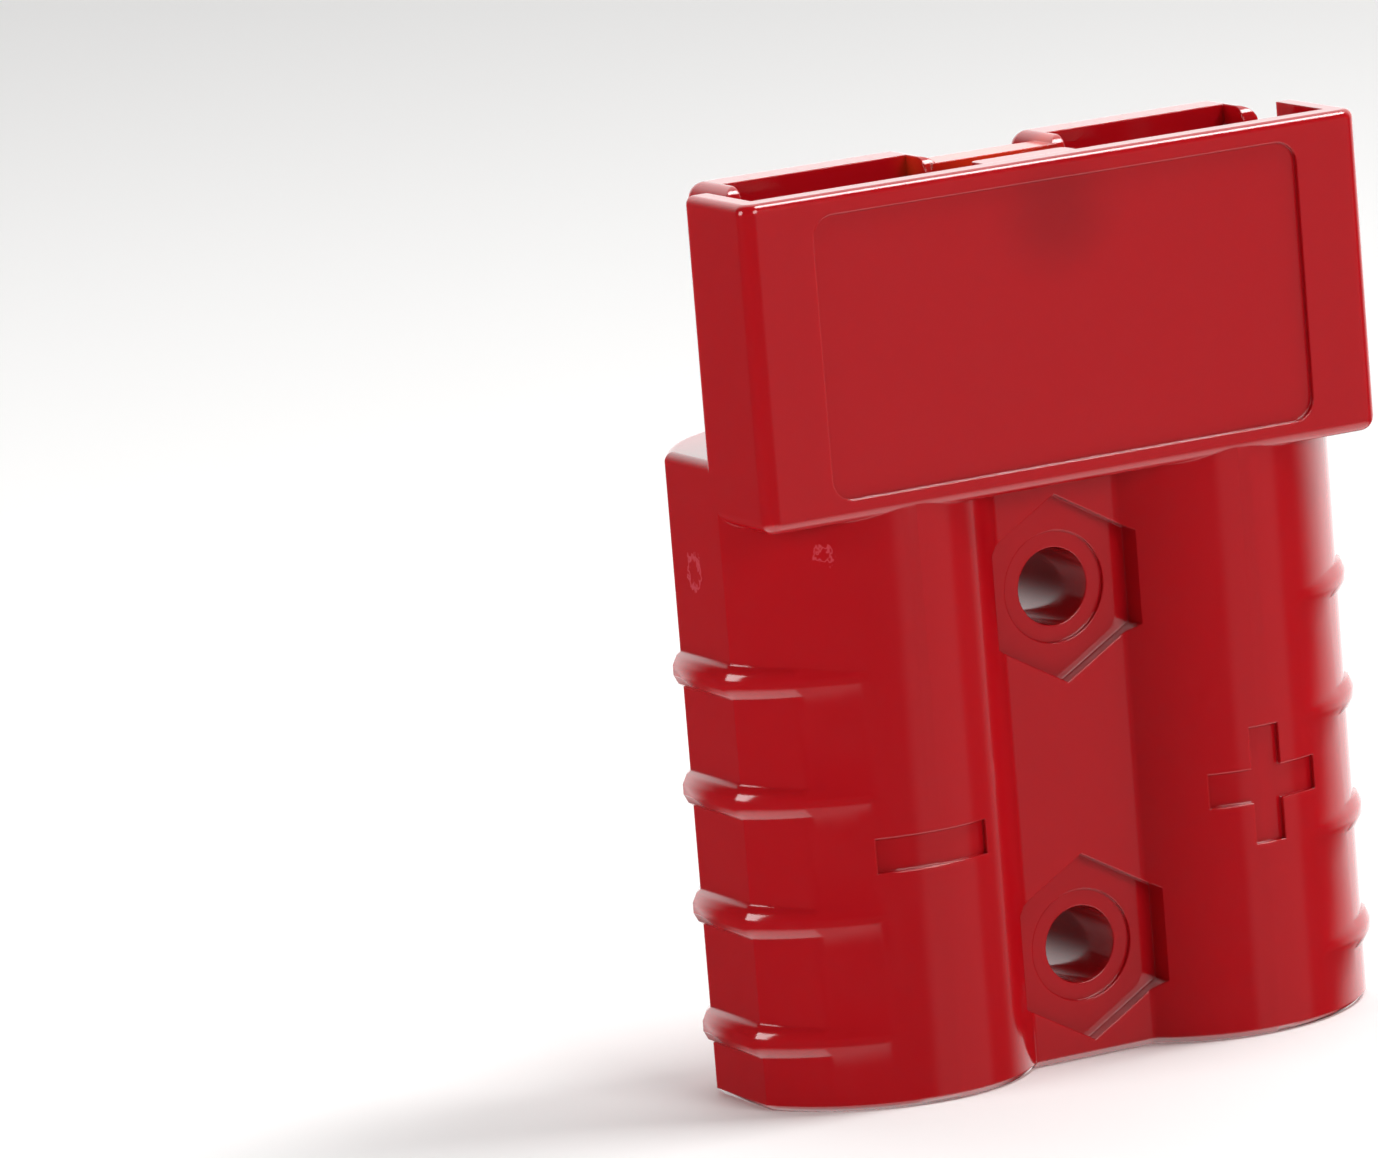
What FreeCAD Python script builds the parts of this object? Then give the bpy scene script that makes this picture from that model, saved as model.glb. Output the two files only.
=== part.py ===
import FreeCAD, Part
import os
from math import asin, cos, pi, radians, sin, sqrt

# Battery quick connector, a two-pole genderless power connector with flat wiping contacts.
#
# Frame: the part stands on its wire end with the mating end up, +Z. The hood with its label panel
# faces -Y, the plus pole is at +X and the minus pole at -X. The axes of both wire bores lie in the
# plane y = 0. The mating half is a second part like this one, turned over by half a turn about a
# line along X, so every face that it meets is worked out from the mating plane y = -mating_plane.
#
# Pieces: one moulded housing, two contacts and two leaf springs. All lengths are in millimetres.

V = FreeCAD.Vector

# housing, outside
height = 47.8               # wire end to mating end
pole_spacing = 19.2         # between the two wire axes
barrel_radius = 8.0         # front, back and inner side of each barrel
side_extra = 0.65           # how much further than that radius the flat lies from the pole axis
flat_width = 5.4            # flat along the outer side of each barrel, measured along Y
web_half_depth = 5.3        # pole plane to the front or back face of the web between the barrels
web_rounding = 0.5          # where the web meets the barrels
end_chamfer = 0.35          # bottom edges at the wire end
ledge_rounding = 0.5        # edges of the ledge that the mating hood rests on

# hood and mating zone
mating_depth = 13.8         # ledge up to the mating end
mating_plane = 2.0          # how far the contact plane lies in front of the pole axes
half_gap = 0.05             # each half stays this far off the mating plane
hood_proud = 0.1            # hood front beyond the barrels' front
hood_drop = 3.2             # hood's lower edge below the ledge
hood_front_wall = 1.4
hood_side_wall = 1.25
hood_corner = 0.8           # rounding of the hood's upright edges
hood_rim_rounding = 0.45
hood_lower_rounding = 0.8
cavity_floor_drop = 0.5     # cavity floor below the ledge, so that the mate seats on the ledge first

# label panel, a bare shallow recess on the hood's front
panel_side_margin = 3.9
panel_top_margin = 1.1
panel_bottom_margin = 1.2
panel_depth = 0.25
panel_corner = 1.2

# tongues, key and divider
tongue_side_gap = 1.1       # tongue to the inside of the mating hood's side wall
mate_clearance = 0.1
tongue_wall = 0.9
tongue_corner = 0.6
tongue_top_rounding = 0.85
key_gap = 0.5               # between the hood's centre key and the mate's tongue, each side
key_corner = 0.4
key_drop = 0.2              # its top below the mating end
divider_thickness = 2.0     # wall that joins the two tongues at the mating plane
divider_drop = 0.35         # its top below the mating end

# grip ribs round the outer side of each barrel
rib_count = 4
rib_pitch = 6.3
rib_first = 2.7             # lower edge of the lowest rib above the wire end
rib_height = 2.1            # at its foot
rib_facets = 5              # flats that stand for its round back
rib_rise = 0.55
rib_root = 0.1              # how deep the rib's edges start inside the barrel
rib_fade = 0.14             # the rib's front is this much flatter, so that it runs out

# mounting holes through the web, nut pockets in front and screw head seats behind
hole_diameter = 4.1
hole_spacing = 19.05
hole_first = 5.9            # lower hole above the wire end
nut_across_flats = 8.6
nut_seat_depth = 0.7
head_seat_diameter = 8.8
head_seat_depth = 0.75
ring_diameter = 5.9
ring_depth = 0.2

# wire bores
bore_diameter = 11.1
bore_depth = 26.0
bore_lead = 0.6

# contact: crimp barrel for the wire, flat blade and hooked tip
blade_thickness = 1.8
blade_play = 0.3            # blade edge to channel wall
blade_back_gap = 0.2        # blade to the channel floor, taken up by the spring
blade_front_gap = 0.1
tip_setback = 1.9           # blade tip below the mating end
tip_corner = 1.6
tip_lead = 0.6
crimp_outer = 7.6
crimp_bore = 5.9
crimp_bore_depth = 12.0
crimp_start = 9.0           # crimp barrel's mouth above the wire end
crimp_length = 12.5
neck_gap = 0.3              # neck to the shoulder at the end of the bore
neck_width = 6.0            # where it leaves the crimp barrel
neck_depth = 4.0
neck_overlap = 0.05         # neck's start inside the crimp barrel
sight_hole = 1.6
sight_hole_drop = 1.3       # its middle below the bottom of the crimp bore
hook_length = 1.3
hook_depth = 0.75
hook_lead = 0.6
hook_gap = 0.1

# leaf spring behind each blade
spring_thickness = 0.5
spring_width = 6.2
spring_play = 0.3           # spring edge to the side of its bay
bay_depth = 1.1             # bay in the channel floor
spring_back_gap = 0.05
spring_touch_gap = 0.02     # crown to the blade
spring_lead = 2.0           # straight stretch above the shoulder
spring_end_gap = 0.3
spring_tail = 1.3           # tail that hooks under the shoulder
lip_thickness = 0.7         # stop between the bay and the hook's notch
notch_depth = 0.7

# places worked out from the sizes above
pole_x = pole_spacing / 2
half_width = pole_x + barrel_radius + side_extra
ledge_z = height - mating_depth
hood_bottom_z = ledge_z - hood_drop
cavity_floor_z = ledge_z - cavity_floor_drop
hood_front_y = -(barrel_radius + hood_proud)
hood_inner_y = hood_front_y + hood_front_wall
hood_back_y = -mating_plane - half_gap
cavity_half_width = half_width - hood_side_wall
tongue_front_y = -mating_plane + half_gap
tongue_back_y = -2 * mating_plane - hood_inner_y - mate_clearance
tongue_half_width = cavity_half_width - tongue_side_gap - pole_x
channel_half_width = tongue_half_width - tongue_wall
blade_front_y = -mating_plane
blade_back_y = blade_front_y + blade_thickness
channel_floor_y = blade_back_y + blade_back_gap
channel_front_y = blade_front_y - blade_front_gap
divider_back_y = tongue_front_y + divider_thickness
key_half_width = pole_x - tongue_half_width - key_gap
key_back_y = -2 * mating_plane - divider_back_y - mate_clearance
bay_half_width = spring_width / 2 + spring_play
bay_back_y = channel_floor_y + bay_depth
tip_z = height - tip_setback
hook_z = tip_z - hook_length
notch_z = hook_z - hook_gap
bay_top_z = notch_z - lip_thickness
nut_seat_y = -(web_half_depth - nut_seat_depth)
head_seat_y = web_half_depth - head_seat_depth
neck_top_z = bore_depth - neck_gap
crimp_top_z = crimp_start + crimp_length
reach = 4 * half_width      # longer than anything that it cuts
overlap = 1.0               # how far a cut or a join runs past the face that it meets


def box(x0, x1, y0, y1, z0, z1):
    return Part.makeBox(x1 - x0, y1 - y0, z1 - z0, V(x0, y0, z0))


def both_sides(shape):
    """The shape at the plus pole and its mirror image at the minus pole."""
    return [shape, shape.mirror(V(0, 0, 0), V(1, 0, 0))]


def both_poles(shape):
    """The shape at the plus pole and a copy of it at the minus pole."""
    other = shape.copy()
    other.translate(V(-2 * pole_x, 0, 0))
    return [shape, other]


def edges_along(shape, direction, test):
    """Straight edges parallel to a direction whose middle passes a test."""
    found = []
    for edge in shape.Edges:
        if len(edge.Vertexes) != 2 or edge.Curve.TypeId != "Part::GeomLine":
            continue
        start, end = edge.Vertexes[0].Point, edge.Vertexes[1].Point
        if (end - start).cross(direction).Length < 1e-6 and test((start + end) * 0.5):
            found.append(edge)
    return found


def edges_at_height(shape, z):
    """Edges that lie wholly in the plane at this height."""
    return [e for e in shape.Edges if abs(e.BoundBox.ZMin - z) < 1e-5 and abs(e.BoundBox.ZMax - z) < 1e-5]


def outer_arc(front_half):
    """How far past the pole plane the arc on a barrel's outer side has its centre, and its radius.

    The arc starts level at the barrel's front and ends at the corner of the outer flat.
    """
    across = half_width - pole_x
    half_flat = flat_width / 2
    past = (across ** 2 + half_flat ** 2 - front_half ** 2) / (2 * (front_half - half_flat))
    return past, front_half + past


def barrel_section():
    """Face across the plus pole: round inside, swelling outwards to a flat on the outer side."""
    past, radius = outer_arc(barrel_radius)
    half_flat = flat_width / 2
    turn = asin((half_flat + past) / radius)
    front = Part.ArcOfCircle(Part.Circle(V(pole_x, past, 0), V(0, 0, 1), radius), 1.5 * pi, 2 * pi - turn)
    back = Part.ArcOfCircle(Part.Circle(V(pole_x, -past, 0), V(0, 0, 1), radius), turn, 0.5 * pi)
    flat = Part.makeLine(V(half_width, -half_flat, 0), V(half_width, half_flat, 0))
    inner = Part.ArcOfCircle(Part.Circle(V(pole_x, 0, 0), V(0, 0, 1), barrel_radius), 0.5 * pi, 1.5 * pi)
    return Part.Face(Part.Wire([front.toShape(), flat, back.toShape(), inner.toShape()]))


def make_body():
    """Two barrels and the web between them, up to the ledge, with its ends rounded."""
    barrel = barrel_section().extrude(V(0, 0, ledge_z))
    web = box(-pole_x, pole_x, -web_half_depth, web_half_depth, 0, ledge_z)
    body = web.fuse(both_sides(barrel)).removeSplitter()
    corners = edges_along(body, V(0, 0, 1), lambda middle: abs(abs(middle.y) - web_half_depth) < 1e-5)
    body = body.makeFillet(web_rounding, corners)
    body = body.makeChamfer(end_chamfer, edges_at_height(body, 0))
    return body.makeFillet(ledge_rounding, edges_at_height(body, ledge_z))


def rib_profile(crest_x):
    """Half section of a rib in the plane y = 0, filled from x = 0 out to its round back in a few flats."""
    depth = rib_rise + rib_root
    radius = (rib_height ** 2 / 4 + depth ** 2) / (2 * depth)
    turn = asin(rib_height / 2 / radius)
    points = [V(0, 0, rib_height), V(0, 0, 0)]
    for number in range(rib_facets + 1):
        angle = turn * (2 * number / rib_facets - 1)
        points.append(V(crest_x - radius + radius * cos(angle), 0, rib_height / 2 + radius * sin(angle)))
    return Part.Face(Part.makePolygon(points + points[:1]))


def make_ribs():
    """Grip ribs at the plus pole, wrapped round the outer side and running out at the front."""
    past, radius = outer_arc(barrel_radius - rib_fade)
    rounds = []
    for side in (1, -1):
        disc = rib_profile(radius).revolve(V(0, 0, 0), V(0, 0, 1), 360)
        disc.translate(V(pole_x + rib_rise, side * past, 0))
        rounds.append(disc)
    flat = rib_profile(half_width + rib_rise).extrude(V(0, reach, 0))
    flat.translate(V(0, -reach / 2, 0))
    blank = flat.common(rounds[0]).common(rounds[1])
    blank = blank.common(box(pole_x + rib_rise, reach, -reach, reach, -overlap, rib_height + overlap))
    ribs = []
    for number in range(rib_count):
        rib = blank.copy()
        rib.translate(V(0, 0, rib_first + number * rib_pitch))
        ribs.append(rib)
    return ribs


def make_hood():
    """Solid hood block with rounded edges, before its cavity is cut."""
    block = box(-half_width, half_width, hood_front_y, hood_back_y, hood_bottom_z, height)
    uprights = edges_along(block, V(0, 0, 1), lambda middle: abs(middle.y - hood_front_y) < 1e-6)
    block = block.makeFillet(hood_corner, uprights)
    lower = [e for e in edges_at_height(block, hood_bottom_z) if e.BoundBox.YMin < hood_back_y - 1e-3]
    block = block.makeFillet(hood_lower_rounding, lower)
    rim = [e for e in edges_at_height(block, height) if e.BoundBox.YMin < hood_back_y - 1e-3]
    return block.makeFillet(hood_rim_rounding, rim)


def make_key():
    """Centre key on the inside of the hood's front wall, between the mate's tongues."""
    key = box(-key_half_width, key_half_width, hood_inner_y - hood_front_wall / 2, key_back_y,
              cavity_floor_z - overlap, height - key_drop)
    back = edges_along(key, V(0, 0, 1), lambda middle: abs(middle.y - key_back_y) < 1e-6)
    return key.makeFillet(key_corner, back)


def make_tongue():
    """Solid tongue at the plus pole, before its channel is cut."""
    tongue = box(pole_x - tongue_half_width, pole_x + tongue_half_width, tongue_front_y, tongue_back_y,
                 ledge_z - overlap, height)
    back = edges_along(tongue, V(0, 0, 1), lambda middle: abs(middle.y - tongue_back_y) < 1e-6)
    tongue = tongue.makeFillet(tongue_corner, back)
    return tongue.makeFillet(tongue_top_rounding, edges_at_height(tongue, height))


def make_channel():
    """What is cut out at the plus pole for the contact and its spring."""
    slot = box(pole_x - channel_half_width, pole_x + channel_half_width, channel_front_y, channel_floor_y,
               bore_depth - overlap, ledge_z)
    mouth = box(pole_x - channel_half_width, pole_x + channel_half_width, hood_back_y, channel_floor_y,
                cavity_floor_z, height + overlap)
    bay = box(pole_x - bay_half_width, pole_x + bay_half_width, channel_floor_y - overlap, bay_back_y,
              bore_depth - overlap, bay_top_z)
    notch = box(pole_x - bay_half_width, pole_x + bay_half_width, channel_floor_y - overlap,
                channel_floor_y + notch_depth, notch_z, tip_z + hook_gap)
    bore = Part.makeCylinder(bore_diameter / 2, bore_depth, V(pole_x, 0, 0))
    lead = Part.makeCone(bore_diameter / 2 + bore_lead, bore_diameter / 2, bore_lead, V(pole_x, 0, 0))
    return [slot, mouth, bay, notch, bore, lead]


def make_mounting(z):
    """What is cut out for one mounting hole: the hole, a nut pocket, its ring and a head seat."""
    outward = V(0, 1, 0)
    hole = Part.makeCylinder(hole_diameter / 2, reach, V(0, -reach / 2, z), outward)
    ring = Part.makeCylinder(ring_diameter / 2, overlap + ring_depth, V(0, nut_seat_y - overlap, z), outward)
    corner = nut_across_flats / sqrt(3)
    turns = [radians(60 * number) for number in range(7)]
    outline = Part.makePolygon([V(corner * sin(turn), nut_seat_y, z + corner * cos(turn)) for turn in turns])
    nut = Part.Face(outline).extrude(V(0, -barrel_radius, 0))
    head = Part.makeCylinder(head_seat_diameter / 2, barrel_radius, V(0, head_seat_y, z), outward)
    return [hole, ring, nut, head]


def make_panel():
    """Rounded shallow recess for a label on the hood's front."""
    panel = box(-half_width + panel_side_margin, half_width - panel_side_margin,
                hood_front_y - overlap, hood_front_y + panel_depth,
                hood_bottom_z + panel_bottom_margin, height - panel_top_margin)
    return panel.makeFillet(panel_corner, edges_along(panel, V(0, 1, 0), lambda middle: True))


def make_housing():
    cavity = box(-cavity_half_width, cavity_half_width, hood_inner_y, hood_back_y,
                 cavity_floor_z, height + overlap)
    housing = make_body().fuse(make_hood()).cut(cavity)
    divider_half = pole_x - channel_half_width - tongue_wall / 2
    divider = box(-divider_half, divider_half, tongue_front_y, divider_back_y,
                  ledge_z - overlap, height - divider_drop)
    solids = [make_key(), divider]
    for shape in make_ribs() + [make_tongue()]:
        solids += both_sides(shape)
    housing = housing.fuse(solids).removeSplitter()
    cuts = [make_panel()]
    for shape in make_channel():
        cuts += both_sides(shape)
    for number in range(2):
        cuts += make_mounting(hole_first + number * hole_spacing)
    return housing.cut(cuts).removeSplitter()


def make_contact():
    """Contact at the plus pole: a crimp barrel drawn down to a flat blade with a hooked tip."""
    barrel = Part.makeCylinder(crimp_outer / 2, crimp_length, V(pole_x, 0, crimp_start))
    crimp = Part.makeCylinder(crimp_bore / 2, crimp_bore_depth + overlap, V(pole_x, 0, crimp_start - overlap))
    hole_z = crimp_start + crimp_bore_depth - sight_hole_drop
    sight = Part.makeCylinder(sight_hole / 2, crimp_outer, V(pole_x, 0, hole_z), V(0, -1, 0))
    half = channel_half_width - blade_play
    blade = box(pole_x - half, pole_x + half, blade_front_y, blade_back_y, neck_top_z, tip_z)
    tip = edges_along(blade, V(0, 1, 0), lambda middle: middle.z > tip_z - 1e-6)
    blade = blade.makeFillet(tip_corner, tip)
    front = [e for e in blade.Edges if abs(e.BoundBox.YMax - blade_front_y) < 1e-5
             and e.BoundBox.ZMax > neck_top_z + overlap]
    blade = blade.makeChamfer(tip_lead, front)
    hook_half = bay_half_width - blade_play
    hook = box(pole_x - hook_half, pole_x + hook_half, blade_back_y - blade_thickness / 2,
               blade_back_y + hook_depth, hook_z, tip_z)
    hook = hook.makeChamfer(hook_lead, edges_along(hook, V(1, 0, 0), lambda middle:
                            middle.z > tip_z - 1e-6 and middle.y > blade_back_y))
    neck = make_neck(half)
    return barrel.fuse([neck, blade, hook]).cut([crimp, sight]).removeSplitter()


def make_neck(half):
    """Flattened stretch that widens from the crimp barrel's closed end to the blade."""
    def section(x, y0, y1, z):
        return [V(pole_x - x, y0, z), V(pole_x + x, y0, z), V(pole_x + x, y1, z), V(pole_x - x, y1, z)]

    low = section(neck_width / 2, -neck_depth / 2, neck_depth / 2, crimp_top_z - neck_overlap)
    high = section(half, blade_front_y, blade_back_y, neck_top_z)
    outlines = [low, high]
    for i in range(4):
        outlines.append([low[i], low[i - 1], high[i - 1], high[i]])
    faces = [Part.Face(Part.makePolygon(outline + outline[:1])) for outline in outlines]
    return Part.Solid(Part.Shell(faces))


def make_spring():
    """Bowed leaf spring at the plus pole, hooked under the shoulder at the end of the bore."""
    half_thick = spring_thickness / 2
    rest_y = bay_back_y - spring_back_gap - half_thick
    crown_y = blade_back_y + spring_touch_gap + half_thick
    start_z = bore_depth + spring_lead
    end_z = bay_top_z - spring_end_gap
    middle_z = (start_z + end_z) / 2
    tail_top_z = bore_depth - hook_gap
    tail_low_z = tail_top_z - spring_thickness
    tail_y = rest_y + half_thick + spring_tail

    def point(y, z):
        return V(pole_x - spring_width / 2, y, z)

    front = Part.Arc(point(rest_y - half_thick, start_z), point(crown_y - half_thick, middle_z),
                     point(rest_y - half_thick, end_z)).toShape()
    back = Part.Arc(point(rest_y + half_thick, end_z), point(crown_y + half_thick, middle_z),
                    point(rest_y + half_thick, start_z)).toShape()
    end = Part.makeLine(point(rest_y - half_thick, end_z), point(rest_y + half_thick, end_z))
    outline = [front, end, back]
    path = [point(rest_y + half_thick, start_z), point(rest_y + half_thick, tail_top_z),
            point(tail_y, tail_top_z), point(tail_y, tail_low_z), point(rest_y - half_thick, tail_low_z),
            point(rest_y - half_thick, start_z)]
    outline += [Part.makeLine(path[i], path[i + 1]) for i in range(len(path) - 1)]
    return Part.Face(Part.Wire(outline)).extrude(V(spring_width, 0, 0))


def main():
    os.makedirs("parts", exist_ok=True)
    contacts = both_poles(make_contact())
    springs = both_poles(make_spring())
    pieces = {"housing": make_housing(), "contact_plus": contacts[0], "contact_minus": contacts[1],
              "spring_plus": springs[0], "spring_minus": springs[1]}
    for name, shape in pieces.items():
        if len(shape.Solids) != 1 or not shape.isValid():
            raise RuntimeError(name + " is not one sound solid")
        shape.Solids[0].exportStep("parts/" + name + ".step")
        print(name, round(shape.Volume, 1), shape.BoundBox)


main()
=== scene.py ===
"""Looks of a battery quick connector: a moulded housing, plated contacts, leaf springs and a studio."""
from math import cos, radians

import bmesh
import bpy
from bpy.props import FloatProperty, FloatVectorProperty, PointerProperty
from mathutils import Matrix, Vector
from mathutils.bvhtree import BVHTree
from mathutils.interpolate import poly_3d_calc


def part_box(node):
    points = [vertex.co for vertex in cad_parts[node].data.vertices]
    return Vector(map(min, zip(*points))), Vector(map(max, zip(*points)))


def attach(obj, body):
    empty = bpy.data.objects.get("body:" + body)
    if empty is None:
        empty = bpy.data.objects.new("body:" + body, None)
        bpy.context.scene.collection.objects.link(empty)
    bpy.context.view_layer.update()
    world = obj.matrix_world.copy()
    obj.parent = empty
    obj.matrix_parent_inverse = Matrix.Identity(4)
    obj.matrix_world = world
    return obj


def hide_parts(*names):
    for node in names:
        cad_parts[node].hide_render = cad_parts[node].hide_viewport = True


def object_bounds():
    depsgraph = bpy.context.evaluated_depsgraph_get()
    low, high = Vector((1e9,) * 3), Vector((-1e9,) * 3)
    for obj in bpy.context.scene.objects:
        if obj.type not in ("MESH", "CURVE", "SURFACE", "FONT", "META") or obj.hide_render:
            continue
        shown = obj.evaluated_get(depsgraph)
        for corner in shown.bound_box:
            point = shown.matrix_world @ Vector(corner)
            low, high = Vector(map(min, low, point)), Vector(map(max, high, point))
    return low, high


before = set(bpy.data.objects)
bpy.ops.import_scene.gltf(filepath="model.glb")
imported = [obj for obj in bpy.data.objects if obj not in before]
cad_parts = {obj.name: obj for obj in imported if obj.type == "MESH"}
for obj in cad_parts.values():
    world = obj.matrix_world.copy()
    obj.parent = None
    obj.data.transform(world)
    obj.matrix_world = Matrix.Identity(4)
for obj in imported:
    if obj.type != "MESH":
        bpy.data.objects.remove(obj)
cad_box = [list(corner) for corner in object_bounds()]

bl_info = {
    "name": "Battery quick connector",
    "version": (1, 0, 0),
    "blender": (4, 5, 0),
    "location": "View3D > Sidebar > Connector",
    "description": "Dresses the packed connector and sets it in a small studio",
    "category": "Object",
}

MM = 0.001
CONTACT_LOW, CONTACT_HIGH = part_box("contact_plus")
POLE_X = (CONTACT_LOW.x + CONTACT_HIGH.x) / 2

# places on the housing with the reach of what is seen there along each axis, in millimetres
# the first patch takes painted shade
PAINTED_SHADE_PATCH = ((0, -8, 44.8), (4.6, 2, 4.2))
# the next patch takes a painted glow
PAINTED_GLOW_PATCH = ((0, -0.8, 47.6), (6, 2.2, 4.5))
GATE_MARK = ((-18.3, 0.4, 28.0), (0.8, 0.8, 1.1))
FLOW_MARK = ((-14.5, -6.7, 29.2), (0.6, 0.8, 0.5))

# directions of the surroundings, seen from the part
BACKDROP = (0.6, 0.75, 0.28)
WINDOW = (0.56, -0.8, -0.2)
UP = (0, 0, 1)
DOWN = (0, 0, -1)


def srgb(code):
    """Linear colour with alpha from an sRGB hex code."""
    parts = [int(code[i:i + 2], 16) / 255 for i in (1, 3, 5)]
    return [c / 12.92 if c <= 0.04045 else ((c + 0.055) / 1.055) ** 2.4 for c in parts] + [1.0]


# settings

def length(name, description, default):
    return FloatProperty(name=name, description=description, default=default * MM, unit="LENGTH", precision=5)


def colour(name, description, code):
    return FloatVectorProperty(name=name, description=description, default=srgb(code), size=4,
                               subtype="COLOR", min=0, max=1)


class MarkSettings(bpy.types.PropertyGroup):
    """Sizes of the polarity marks sunk into the fronts of the barrels."""
    plus_width: length("Plus width", "Across the plus mark", 6.5)
    plus_height: length("Plus height", "Height of the plus mark", 6.2)
    bar: length("Bar", "Width of the bars of both marks", 1.8)
    minus_width: length("Minus width", "Across the minus mark", 6.4)
    height: length("Middle", "Middle of both marks above the wire end", 13.3)
    outward: length("Outward", "Middle of each mark outside its wire axis", 0.35)
    depth: length("Depth", "How deep the marks are sunk", 0.3)


class HousingSettings(bpy.types.PropertyGroup):
    """Colours of the moulded housing."""
    red: colour("Red", "Polycarbonate in even light", "#a50b14")
    # painted glow: an emission colour and strength that stand in for light coming through the thin wall
    painted_glow: colour("Glow", "Light that comes through thin walls", "#ff5a1e")
    painted_glow_strength: FloatProperty(name="Glow strength", description="How much light the thin wall passes on",
                                 default=0.4, min=0)
    # painted shade: a darker red for the patch where the centre key inside shades the hood
    shade: colour("Shade", "Where the key darkens the hood from behind", "#930a12")
    scar: colour("Gate scar", "Rough spot where the moulding was gated", "#bd3a44")


class MetalSettings(bpy.types.PropertyGroup):
    """Colours of the metal pieces."""
    silver: colour("Silver plate", "Plated copper of the contacts", "#d9d6cf")
    steel: colour("Spring steel", "Rolled strip of the leaf springs", "#b9bcc0")


class StageSettings(bpy.types.PropertyGroup):
    """Camera, lights and floor."""
    camera_place: FloatVectorProperty(name="Camera place", description="Where the camera stands",
                                      default=(-0.25563, -0.45530, 0.12287), subtype="TRANSLATION",
                                      unit="LENGTH")
    camera_turn: FloatVectorProperty(name="Camera turn", description="How the camera is turned",
                                     default=[radians(a) for a in (79.470, 4.711, -28.356)], subtype="EULER")
    focal_length: FloatProperty(name="Focal length", description="Lens in millimetres on a 36 mm sensor",
                                default=265.78, min=1)
    floor: colour("Floor", "Pale seamless floor", "#f4f3f2")
    key_power: FloatProperty(name="Key", description="Light in front on the right", default=2.0,
                             min=0, unit="POWER")
    top_power: FloatProperty(name="Top", description="Small light above, which draws the bright rims",
                             default=2.2, min=0, unit="POWER")
    side_power: FloatProperty(name="Side", description="Light on the left", default=2.0, min=0, unit="POWER")
    sky: FloatProperty(name="Backdrop", description="Strength of the white behind and below the part",
                       default=1.55, min=0)
    window: FloatProperty(name="Window", description="Strength of the window that the fronts mirror",
                          default=0.22, min=0)
    room: FloatProperty(name="Room", description="Strength of the dim room in front", default=0.06, min=0)


# materials

def add_node(tree, kind, inputs=None, **settings):
    """Adds a node with its settings. An input's value is a number, a colour or another node's output."""
    node = tree.nodes.new(kind)
    for name, value in settings.items():
        setattr(node, name, value)
    for name, value in (inputs or {}).items():
        if isinstance(value, bpy.types.NodeSocket):
            tree.links.new(value, node.inputs[name])
        else:
            node.inputs[name].default_value = value
    return node


def new_material(name):
    material = bpy.data.materials.new(name)
    material.use_nodes = True
    material.node_tree.nodes.clear()
    return material, material.node_tree


def soft_spot(tree, place, middle, reach, inner):
    """A factor that is 1 near a place of the part and fades to 0 from an inner share of its reach on."""
    near = add_node(tree, "ShaderNodeMapping", {
        "Vector": place, "Location": [c * MM for c in middle], "Scale": [c * MM for c in reach]},
        vector_type="TEXTURE")
    away = add_node(tree, "ShaderNodeVectorMath", {0: near.outputs["Vector"]}, operation="LENGTH")
    fade = add_node(tree, "ShaderNodeMapRange", {
        "Value": away.outputs["Value"], "From Min": inner, "From Max": 1.0, "To Min": 1.0, "To Max": 0.0},
        interpolation_type="SMOOTHSTEP")
    return fade.outputs["Result"]


def ring_mark(tree, place, middle, reach):
    """A factor that is 1 on a thin, uneven ring around a place of the part."""
    sway = 1.1
    uneven = add_node(tree, "ShaderNodeTexNoise", {"Vector": place, "Scale": 1 / (0.35 * MM), "Detail": 1.0})
    shift = add_node(tree, "ShaderNodeVectorMath", {
        0: uneven.outputs["Color"], 1: [sway * MM] * 3, 2: place}, operation="MULTIPLY_ADD")
    # the noise is a half on average, so the ring moves by half its sway
    middle = [c + sway / 2 for c in middle]
    outer = soft_spot(tree, shift.outputs["Vector"], middle, reach, 0.8)
    inner = soft_spot(tree, shift.outputs["Vector"], middle, [c * 0.8 for c in reach], 0.7)
    ring = add_node(tree, "ShaderNodeMath", {0: outer, 1: inner}, operation="SUBTRACT")
    return ring.outputs["Value"]


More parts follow.
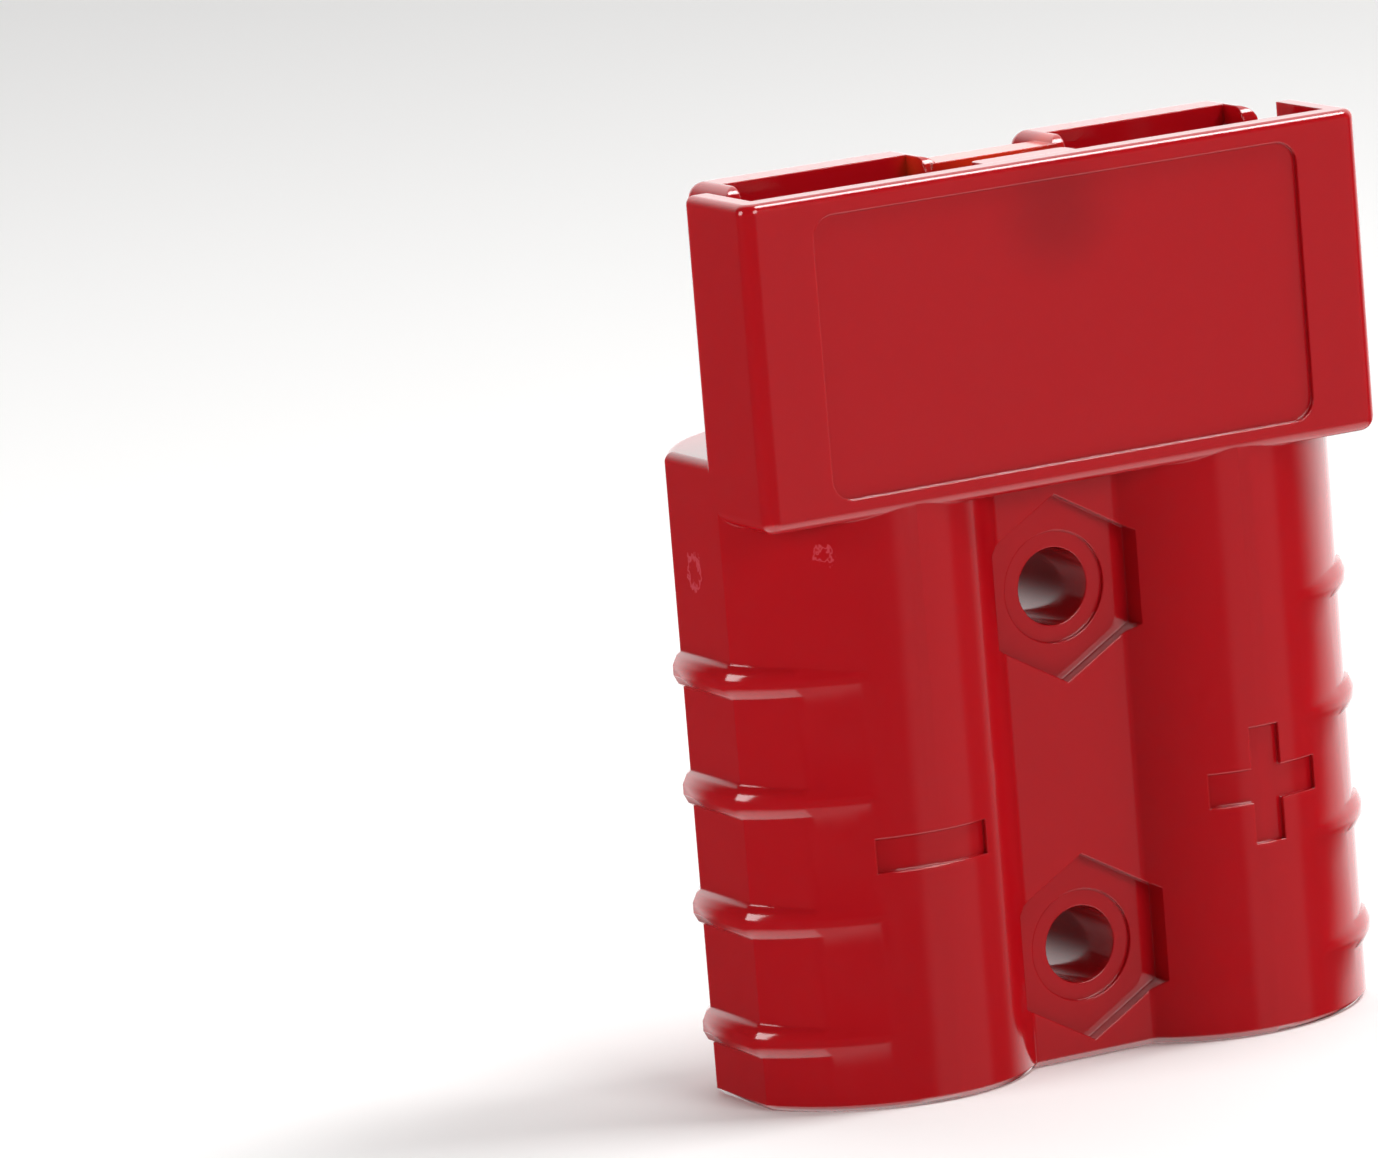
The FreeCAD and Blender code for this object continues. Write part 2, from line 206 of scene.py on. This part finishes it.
def moulded_polycarbonate(settings):
    """Moulded polycarbonate: glossy, slightly translucent, with the faint waviness of a polished mould."""
    material, tree = new_material("moulded_polycarbonate")
    place = add_node(tree, "ShaderNodeTexCoord").outputs["Object"]
    # sink waves of a few millimetres bend the reflections, as on any thick moulding
    waves = add_node(tree, "ShaderNodeTexNoise", {"Vector": place, "Scale": 1 / (7 * MM), "Detail": 1.0})
    # every edge of a moulding has a small radius, which catches a thin line of light
    edges = add_node(tree, "ShaderNodeBevel", {"Radius": 0.13 * MM}, samples=6)
    wavy = add_node(tree, "ShaderNodeBump", {"Height": waves.outputs["Fac"], "Strength": 0.25,
                                             "Distance": 0.06 * MM, "Normal": edges.outputs["Normal"]})
    # polishing marks of the mould, drawn coarser than the real tenths of a millimetre
    grain = add_node(tree, "ShaderNodeTexNoise", {"Vector": place, "Scale": 1 / (0.9 * MM), "Detail": 3.0})
    rough = add_node(tree, "ShaderNodeMapRange", {"Value": grain.outputs["Fac"], "From Min": 0.3,
                                                  "From Max": 0.7, "To Min": 0.08, "To Max": 0.13})
    # painted shade: a darker patch on the front of the hood, where the centre key inside shades it from
    # behind
    key = soft_spot(tree, place, *PAINTED_SHADE_PATCH, 0.1)
    tint = add_node(tree, "ShaderNodeMix", {0: key, 6: settings.red, 7: settings.shade}, data_type="RGBA")
    # the gate and the flow mark beside it left pale, uneven rings
    for middle, reach in (GATE_MARK, FLOW_MARK):
        tint = add_node(tree, "ShaderNodeMix", {
            0: ring_mark(tree, place, middle, reach), 6: tint.outputs[2], 7: settings.scar},
            data_type="RGBA")
    # painted glow: an orange emission near the top of the thin wall between the tongues stands in for the
    # light it lets through from behind
    painted_glow_mask = soft_spot(tree, place, *PAINTED_GLOW_PATCH, 0.1)
    painted_glow = add_node(tree, "ShaderNodeMath", {0: painted_glow_mask, 1: settings.painted_glow_strength}, operation="MULTIPLY")
    shader = add_node(tree, "ShaderNodeBsdfPrincipled", {
        "Base Color": tint.outputs[2], "Roughness": rough.outputs["Result"], "IOR": 1.585,
        "Subsurface Weight": 0.2, "Subsurface Radius": (1.0, 0.12, 0.03), "Subsurface Scale": 2.5 * MM,
        "Emission Color": settings.painted_glow, "Emission Strength": painted_glow.outputs["Value"],
        "Normal": wavy.outputs["Normal"]}, subsurface_method="RANDOM_WALK")
    add_node(tree, "ShaderNodeOutputMaterial", {"Surface": shader.outputs[0]})
    return material


def silver_plate(settings):
    """Silver-plated copper: bright, warm white metal, satin from barrel tumbling."""
    material, tree = new_material("silver_plated_copper")
    place = add_node(tree, "ShaderNodeTexCoord").outputs["Object"]
    # dents from tumbling, drawn coarser than the real hundredths of a millimetre
    grain = add_node(tree, "ShaderNodeTexNoise", {"Vector": place, "Scale": 1 / (0.3 * MM), "Detail": 4.0})
    rough = add_node(tree, "ShaderNodeMapRange", {"Value": grain.outputs["Fac"], "From Min": 0.3,
                                                  "From Max": 0.7, "To Min": 0.32, "To Max": 0.4})
    shader = add_node(tree, "ShaderNodeBsdfPrincipled", {
        "Base Color": settings.silver, "Metallic": 1.0, "Roughness": rough.outputs["Result"]})
    add_node(tree, "ShaderNodeOutputMaterial", {"Surface": shader.outputs[0]})
    return material


def rolled_steel(settings):
    """Rolled stainless spring strip: grey metal with rolling lines along the strip."""
    material, tree = new_material("rolled_spring_steel")
    place = add_node(tree, "ShaderNodeTexCoord").outputs["Object"]
    # rolling lines a quarter of a millimetre apart and eight times as long, coarser than the real ones
    along = add_node(tree, "ShaderNodeMapping", {"Vector": place, "Scale": (8, 8, 1)})
    lines = add_node(tree, "ShaderNodeTexNoise", {"Vector": along.outputs["Vector"], "Scale": 1 / (2 * MM)})
    rough = add_node(tree, "ShaderNodeMapRange", {"Value": lines.outputs["Fac"], "From Min": 0.3,
                                                  "From Max": 0.7, "To Min": 0.25, "To Max": 0.4})
    shader = add_node(tree, "ShaderNodeBsdfPrincipled", {
        "Base Color": settings.steel, "Metallic": 1.0, "Roughness": rough.outputs["Result"]})
    add_node(tree, "ShaderNodeOutputMaterial", {"Surface": shader.outputs[0]})
    return material


def floor_paper(settings):
    """Seamless paper roll: matt and pale."""
    material, tree = new_material("seamless_paper")
    shader = add_node(tree, "ShaderNodeBsdfPrincipled", {"Base Color": settings.floor, "Roughness": 0.9})
    add_node(tree, "ShaderNodeOutputMaterial", {"Surface": shader.outputs[0]})
    return material


# shapes

def new_piece(name, shape, material):
    """Makes an object from a bmesh, with its place in its mesh, and lets it ride on the part."""
    mesh = bpy.data.meshes.new(name)
    shape.to_mesh(mesh)
    shape.free()
    mesh.materials.append(material)
    piece = bpy.data.objects.new(name, mesh)
    bpy.context.scene.collection.objects.link(piece)
    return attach(piece, "root")


def merged_copy(node):
    """A bmesh of a CAD node with its loose triangles joined."""
    shape = bmesh.new()
    shape.from_mesh(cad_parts[node].data)
    bmesh.ops.remove_doubles(shape, verts=shape.verts, dist=1e-6)
    return shape


def sink_mark(shape, bars, depth):
    """Sinks a mark made of upright rectangles into the front of the housing, following its curve."""
    low_x, high_x = min(bar[0] for bar in bars), max(bar[1] for bar in bars)
    low_z, high_z = min(bar[2] for bar in bars), max(bar[3] for bar in bars)

    def around(face):
        """Whether a face faces forwards, 5 mm or more before the wire axes, and touches the mark's box."""
        xs = [v.co.x for v in face.verts]
        zs = [v.co.z for v in face.verts]
        return (face.normal.y < -0.3 and face.calc_center_median().y < -5 * MM and max(xs) > low_x
                and min(xs) < high_x and max(zs) > low_z and min(zs) < high_z)

    cuts = {(0, x) for bar in bars for x in bar[:2]} | {(2, z) for bar in bars for z in bar[2:]}
    for axis, place in sorted(cuts, reverse=True):
        faces = [f for f in shape.faces if around(f)]
        geom = faces + list({e for f in faces for e in f.edges}) + list({v for f in faces for v in f.verts})
        point, normal = Vector(), Vector()
        point[axis], normal[axis] = place, 1
        bmesh.ops.bisect_plane(shape, geom=geom, plane_co=point, plane_no=normal, dist=1e-7)
    inside = []
    for face in shape.faces:
        middle = face.calc_center_median()
        if around(face) and any(b[0] < middle.x < b[1] and b[2] < middle.z < b[3] for b in bars):
            inside.append(face)
    sunk = bmesh.ops.extrude_face_region(shape, geom=inside)["geom"]
    corners = [v for v in sunk if isinstance(v, bmesh.types.BMVert)]
    bmesh.ops.translate(shape, verts=corners, vec=(0, depth, 0))
    bmesh.ops.delete(shape, geom=inside, context="FACES")


def sort_mesh(shape):
    """Puts a mesh in order of place, because sinking the marks adds faces in another order each run."""
    for items, spot in ((shape.verts, lambda vert: vert.co),
                        (shape.edges, lambda edge: edge.verts[0].co + edge.verts[1].co),
                        (shape.faces, lambda face: face.calc_center_median())):
        for rank, item in enumerate(sorted(items, key=lambda item: spot(item)[:])):
            item.index = rank
        items.sort()


def round_ribs(mesh, normals):
    """Blends the flats on the backs of the ribs, 26 degrees apart. The ribs' feet stay crisp."""
    apart = radians(32)
    ribs_top = 24 * MM
    # the flats on a rib's back slope more than a barrel's wall and less than a shoulder
    least, most = 0.3, 0.85
    mesh.set_sharp_from_angle(angle=apart)
    blended = [corner.vector.copy() for corner in mesh.corner_normals]
    around = [[] for _ in mesh.vertices]
    for face in mesh.polygons:
        for vertex in face.vertices:
            around[vertex].append(face.normal)
    for face in mesh.polygons:
        if face.center.z > ribs_top or abs(face.center.x) < POLE_X:
            continue
        for index in face.loop_indices:
            normals_here = around[mesh.loops[index].vertex_index]
            sloping = [n for n in normals_here if least < abs(n.z) < most]
            if any(n.dot(face.normal) > cos(apart) for n in sloping):
                normals[index] = blended[index]


def keep_cad_shading(piece, node):
    """Gives a changed copy of a CAD node the node's own exact normals, so that its round walls stay round."""
    source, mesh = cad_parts[node].data, piece.data
    nearest = BVHTree.FromPolygons([v.co for v in source.vertices], [f.vertices for f in source.polygons])
    normals = [face.normal.copy() for face in mesh.polygons for _ in face.loop_indices]
    for face in mesh.polygons:
        for index in face.loop_indices:
            corner = mesh.vertices[mesh.loops[index].vertex_index].co
            inward = (face.center - corner).normalized() * 0.01 * MM
            found = source.polygons[nearest.find_nearest(corner + inward)[2]]
            weights = poly_3d_calc([source.vertices[v].co for v in found.vertices], corner)
            shaded = Vector()
            for weight, loop in zip(weights, found.loop_indices):
                shaded += weight * source.corner_normals[loop].vector
            # a new wall of a mark has no normal of its own in the node and stays flat
            if shaded.length > 0.5 and shaded.normalized().dot(face.normal) > 0.8:
                normals[index] = shaded.normalized()
    mesh.shade_smooth()
    round_ribs(mesh, normals)
    mesh.normals_split_custom_set(normals)


class CONNECTOR_OT_housing(bpy.types.Operator):
    """Copy the moulded housing, sink its polarity marks and give it its polycarbonate"""
    bl_idname = "connector.housing"
    bl_label = "Housing"

    def execute(self, context):
        marks = context.scene.connector_marks
        shape = merged_copy("housing")
        bar = marks.bar / 2
        for side in (1, -1):
            middle = side * (POLE_X + marks.outward)
            width = (marks.plus_width if side > 0 else marks.minus_width) / 2
            bars = [(middle - width, middle + width, marks.height - bar, marks.height + bar)]
            if side > 0:
                tall = marks.plus_height / 2
                bars.append((middle - bar, middle + bar, marks.height - tall, marks.height + tall))
            sink_mark(shape, bars, marks.depth)
        sort_mesh(shape)
        housing = new_piece("moulded_housing", shape, moulded_polycarbonate(context.scene.connector_housing))
        keep_cad_shading(housing, "housing")
        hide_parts("housing")
        return {"FINISHED"}


class CONNECTOR_OT_contacts(bpy.types.Operator):
    """Give both contacts their silver plate"""
    bl_idname = "connector.contacts"
    bl_label = "Contacts"

    def execute(self, context):
        plate = silver_plate(context.scene.connector_metals)
        for name in ("contact_plus", "contact_minus"):
            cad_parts[name].data.materials[0] = plate
        return {"FINISHED"}


class CONNECTOR_OT_springs(bpy.types.Operator):
    """Give both leaf springs their rolled steel"""
    bl_idname = "connector.springs"
    bl_label = "Springs"

    def execute(self, context):
        steel = rolled_steel(context.scene.connector_metals)
        for name in ("spring_plus", "spring_minus"):
            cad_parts[name].data.materials[0] = steel
        return {"FINISHED"}


def add_light(name, place, size, power, target):
    """A square soft light at a place in metres, turned to a target."""
    data = bpy.data.lights.new(name, "AREA")
    data.size = size
    data.energy = power
    light = bpy.data.objects.new(name, data)
    light.location = place
    light.rotation_euler = (Vector(target) - Vector(place)).to_track_quat("-Z", "Y").to_euler()
    bpy.context.scene.collection.objects.link(light)


def patch(tree, place, direction, start, full):
    """A factor of the surroundings that rises from 0 to 1 as they near a direction."""
    near = add_node(tree, "ShaderNodeVectorMath", {0: place, 1: direction}, operation="DOT_PRODUCT")
    rise = add_node(tree, "ShaderNodeMapRange", {
        "Value": near.outputs["Value"], "From Min": start, "From Max": full}, interpolation_type="SMOOTHSTEP")
    return rise.outputs["Result"]


def white_backdrop(stage):
    """Surroundings that are white behind and below the part and dim in front, with a window on the right."""
    world = bpy.data.worlds.new("white_backdrop")
    world.use_nodes = True
    tree = world.node_tree
    tree.nodes.clear()
    place = add_node(tree, "ShaderNodeTexCoord").outputs["Generated"]
    behind = patch(tree, place, BACKDROP, 0.3, 0.8)
    above_floor = patch(tree, place, UP, -0.45, -0.27)
    backdrop = add_node(tree, "ShaderNodeMath", {0: behind, 1: above_floor}, operation="MULTIPLY")
    window = patch(tree, place, WINDOW, 0.9, 0.95)
    below = patch(tree, place, DOWN, 0.5, 0.8)
    light = add_node(tree, "ShaderNodeMath", {0: backdrop.outputs["Value"], 1: stage.sky, 2: stage.room},
                     operation="MULTIPLY_ADD")
    light = add_node(tree, "ShaderNodeMath", {0: window, 1: stage.window, 2: light.outputs["Value"]},
                     operation="MULTIPLY_ADD")
    light = add_node(tree, "ShaderNodeMath", {0: below, 1: stage.sky, 2: light.outputs["Value"]},
                     operation="MULTIPLY_ADD")
    shader = add_node(tree, "ShaderNodeBackground", {
        "Color": (1, 1, 1, 1), "Strength": light.outputs["Value"]})
    add_node(tree, "ShaderNodeOutputWorld", {"Surface": shader.outputs[0]})
    return world


class CONNECTOR_OT_stage(bpy.types.Operator):
    """Set the camera, the lights, the white surroundings and the pale floor"""
    bl_idname = "connector.stage"
    bl_label = "Stage"

    def execute(self, context):
        stage = context.scene.connector_stage
        data = bpy.data.cameras.new("photo_camera")
        data.sensor_width = 36
        data.lens = stage.focal_length
        data.clip_end = 20
        camera = bpy.data.objects.new("photo_camera", data)
        camera.location = stage.camera_place
        camera.rotation_euler = stage.camera_turn
        context.scene.collection.objects.link(camera)
        context.scene.camera = camera

        middle = (cad_box[0][2] + cad_box[1][2]) / 2
        target = (0, 0, middle)
        add_light("key_softbox", (0.12, -0.6, 0.28), 0.3, stage.key_power, target)
        add_light("top_softbox", (0.28, -0.1, 0.5), 0.2, stage.top_power, target)
        add_light("fill_softbox", (-0.6, 0.08, 0.2), 0.3, stage.side_power, target)

        context.scene.world = white_backdrop(stage)
        context.scene.view_settings.view_transform = "Standard"

        shape = bmesh.new()
        bmesh.ops.create_grid(shape, x_segments=1, y_segments=1, size=3)
        mesh = bpy.data.meshes.new("floor")
        shape.to_mesh(mesh)
        shape.free()
        mesh.materials.append(floor_paper(stage))
        floor = bpy.data.objects.new("floor", mesh)
        context.scene.collection.objects.link(floor)
        # the photo shows the part in the air, so nothing on it mirrors the floor
        floor.visible_glossy = False
        return {"FINISHED"}


class CONNECTOR_PT_panel(bpy.types.Panel):
    """Sizes, colours and steps of the connector"""
    bl_idname = "CONNECTOR_PT_panel"
    bl_label = "Battery quick connector"
    bl_space_type = "VIEW_3D"
    bl_region_type = "UI"
    bl_category = "Connector"

    def draw(self, context):
        for group in GROUPS:
            box = self.layout.box()
            settings = getattr(context.scene, group)
            for name in settings.bl_rna.properties.keys():
                if name not in ("rna_type", "name"):
                    box.prop(settings, name)
        for operator in OPERATORS:
            self.layout.operator(operator.bl_idname)


GROUPS = {
    "connector_marks": MarkSettings,
    "connector_housing": HousingSettings,
    "connector_metals": MetalSettings,
    "connector_stage": StageSettings,
}
OPERATORS = (CONNECTOR_OT_housing, CONNECTOR_OT_contacts, CONNECTOR_OT_springs, CONNECTOR_OT_stage)


def register():
    for group in GROUPS.values():
        bpy.utils.register_class(group)
    for name, group in GROUPS.items():
        setattr(bpy.types.Scene, name, PointerProperty(type=group))
    for operator in OPERATORS:
        bpy.utils.register_class(operator)
    bpy.utils.register_class(CONNECTOR_PT_panel)


def unregister():
    bpy.utils.unregister_class(CONNECTOR_PT_panel)
    for operator in reversed(OPERATORS):
        bpy.utils.unregister_class(operator)
    for name, group in GROUPS.items():
        delattr(bpy.types.Scene, name)
        bpy.utils.unregister_class(group)


def main():
    """Runs each step in order."""
    register()
    bpy.ops.connector.stage()
    bpy.ops.connector.housing()
    bpy.ops.connector.contacts()
    bpy.ops.connector.springs()
    bpy.context.view_layer.update()


if __name__ == "__main__":
    main()
